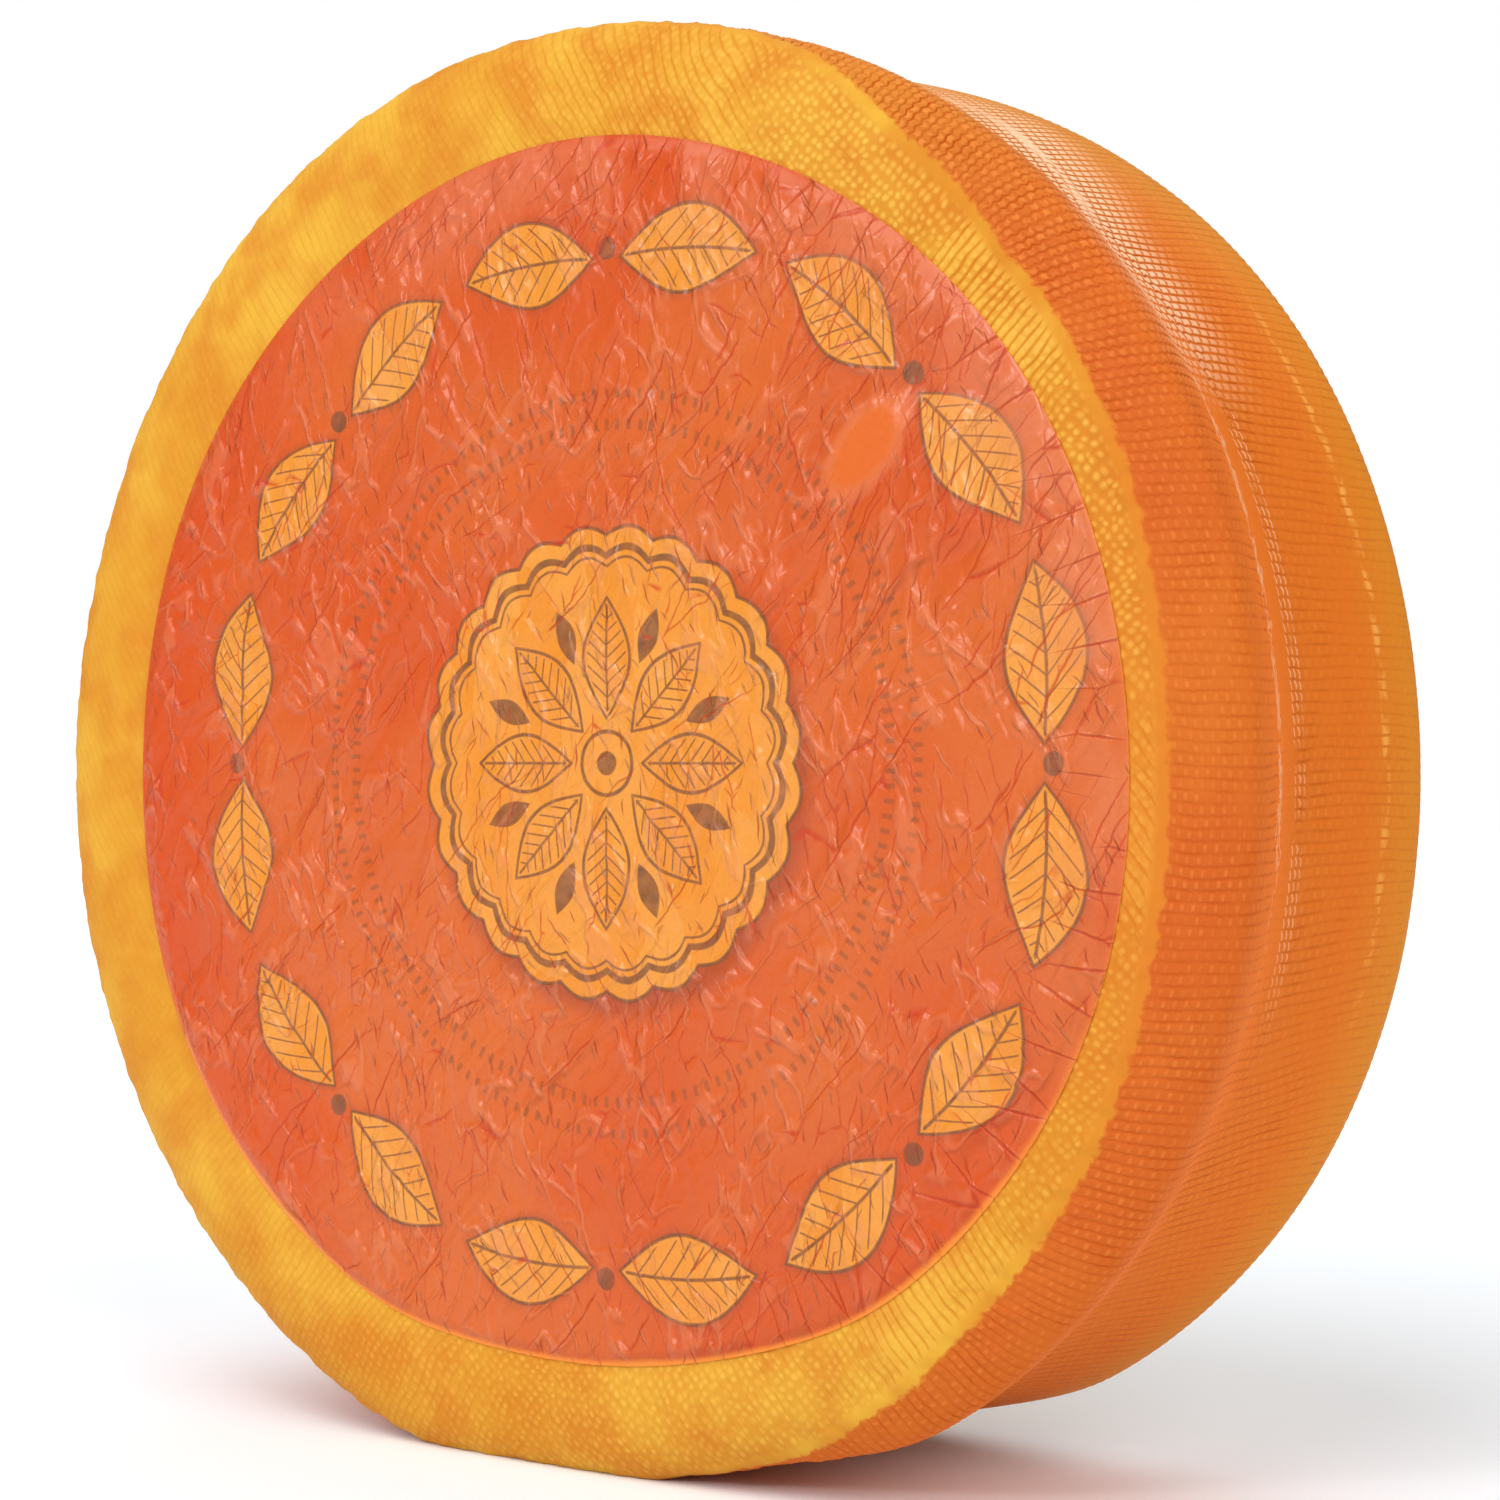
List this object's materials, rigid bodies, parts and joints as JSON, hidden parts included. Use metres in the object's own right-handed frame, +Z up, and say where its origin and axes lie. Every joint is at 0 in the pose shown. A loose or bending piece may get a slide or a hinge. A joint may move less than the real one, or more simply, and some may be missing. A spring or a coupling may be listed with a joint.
{
  "type": "cheese wheel",
  "caption": "Whole wheel of semi-soft cheese standing on its rim: cloth-marked orange rind, drawn-in waist, rounded rims and a round printed film on the front face.",
  "frame": {"origin": "on the floor, under the middle of the wheel's box", "axes": "+Z up, the wheel's turning axis along Y, the front face with the printed film towards -Y"},
  "size_m": [0.2195, 0.065, 0.214],
  "materials": {
    "rind": "satin",
    "film": "glossy"
  },
  "bodies": {
    "root": {"cheese_wheel": "rind", "printed_film": "film"}
  },
  "joints": []
}
